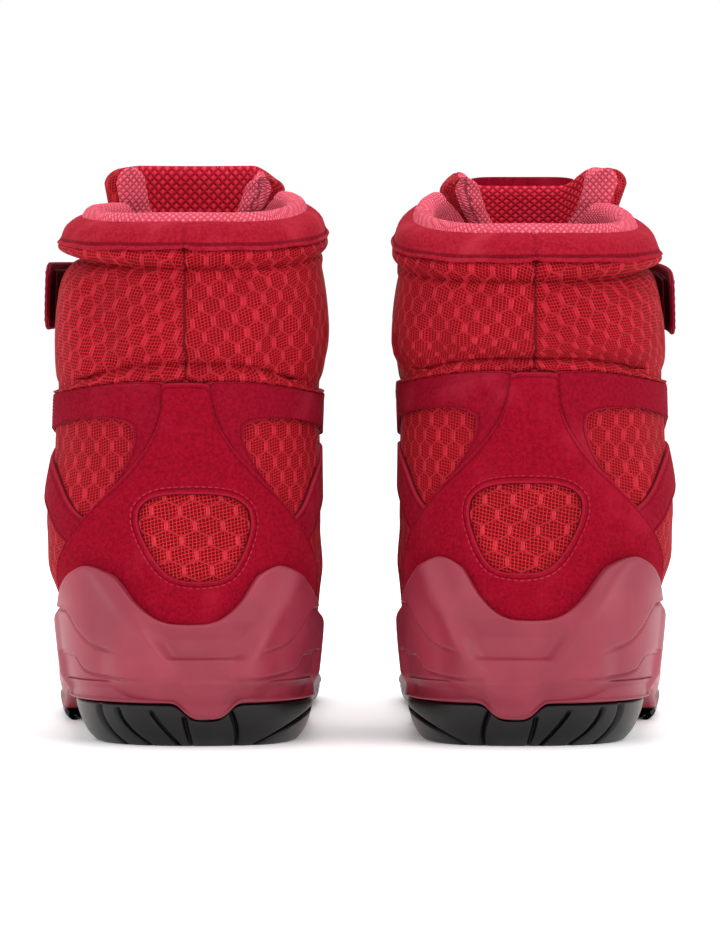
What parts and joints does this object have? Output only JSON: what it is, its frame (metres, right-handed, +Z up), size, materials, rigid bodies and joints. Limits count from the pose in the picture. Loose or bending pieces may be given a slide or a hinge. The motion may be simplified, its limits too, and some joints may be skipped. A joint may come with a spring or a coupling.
{
  "type": "boxing boots",
  "caption": "Pair of padded ankle-high boxing boots with mesh uppers, suede overlays, padded collars, laced throats, ankle straps and flat rubber soles.",
  "frame": {"origin": "centre of the pair's bounding box, on the floor that both boots stand on", "axes": "+Y from the heels to the toes, +Z up; the left boot is on the -X side"},
  "size_m": [0.2214, 0.3015, 0.1986],
  "materials": {
    "suede": "napped suede",
    "mesh": "open honeycomb mesh over a fine net",
    "lining": "textured knit",
    "midsole": "matte moulded foam",
    "rubber": "matte",
    "foam": "open foam",
    "board": "pressed fibre board",
    "shank": "satin",
    "webbing": "woven"
  },
  "bodies": {
    "left_boot": {"left_outsole_heel": "rubber", "left_outsole_forefoot": "rubber", "left_shank_plate": "shank", "left_midsole": "midsole", "left_lasting_board": "board", "left_sockliner": "lining", "left_heel_counter": "board", "left_heel_mesh": "mesh", "left_quarter_mesh_lateral": "mesh", "left_quarter_mesh_medial": "mesh", "left_vamp_mesh": "mesh", "left_lining": "lining", "left_collar_cover": "mesh", "left_collar_foam": "foam", "left_collar_binding": "suede", "left_tongue": "lining", "left_heel_overlay": "suede", "left_ankle_band_lateral": "suede", "left_ankle_band_medial": "suede", "left_side_strap_lateral": "suede", "left_side_strap_medial": "suede", "left_eyestay": "suede", "left_toe_overlay": "suede", "left_lace": "webbing", "left_loop_patch": "webbing", "left_strap_anchor": "suede"},
    "left_strap": {"left_ankle_strap": "suede", "left_hook_patch": "webbing"},
    "left_tongue": {"left_tongue_top": "lining", "left_tongue_patch": "suede"},
    "right_boot": {"right_outsole_heel": "rubber", "right_outsole_forefoot": "rubber", "right_shank_plate": "shank", "right_midsole": "midsole", "right_lasting_board": "board", "right_sockliner": "lining", "right_heel_counter": "board", "right_heel_mesh": "mesh", "right_quarter_mesh_lateral": "mesh", "right_quarter_mesh_medial": "mesh", "right_vamp_mesh": "mesh", "right_lining": "lining", "right_collar_cover": "mesh", "right_collar_foam": "foam", "right_collar_binding": "suede", "right_tongue": "lining", "right_heel_overlay": "suede", "right_ankle_band_lateral": "suede", "right_ankle_band_medial": "suede", "right_side_strap_lateral": "suede", "right_side_strap_medial": "suede", "right_eyestay": "suede", "right_toe_overlay": "suede", "right_lace": "webbing", "right_loop_patch": "webbing", "right_strap_anchor": "suede"},
    "right_strap": {"right_ankle_strap": "suede", "right_hook_patch": "webbing"},
    "right_tongue": {"right_tongue_top": "lining", "right_tongue_patch": "suede"}
  },
  "joints": [
    {"name": "right_boot_lift", "type": "slide", "parent": "left_boot", "child": "right_boot", "axis": [0, 0, 1], "range_m": [0, 0.25]},
    {"name": "left_strap_open", "type": "hinge", "parent": "left_boot", "child": "left_strap", "pos_m": [-0.01876, -0.04624, 0.15147], "axis": [0, 0, -1], "range_deg": [0, 80]},
    {"name": "left_tongue_fold", "type": "hinge", "parent": "left_boot", "child": "left_tongue", "pos_m": [-0.057, -0.02963, 0.167], "axis": [-1, 0, 0], "range_deg": [0, 35], "stiffness_Nm_per_rad": 0.02},
    {"name": "right_strap_open", "type": "hinge", "parent": "right_boot", "child": "right_strap", "pos_m": [0.01876, -0.04624, 0.15147], "axis": [0, 0, 1], "range_deg": [0, 80]},
    {"name": "right_tongue_fold", "type": "hinge", "parent": "right_boot", "child": "right_tongue", "pos_m": [0.057, -0.02963, 0.167], "axis": [-1, 0, 0], "range_deg": [0, 35], "stiffness_Nm_per_rad": 0.02}
  ]
}
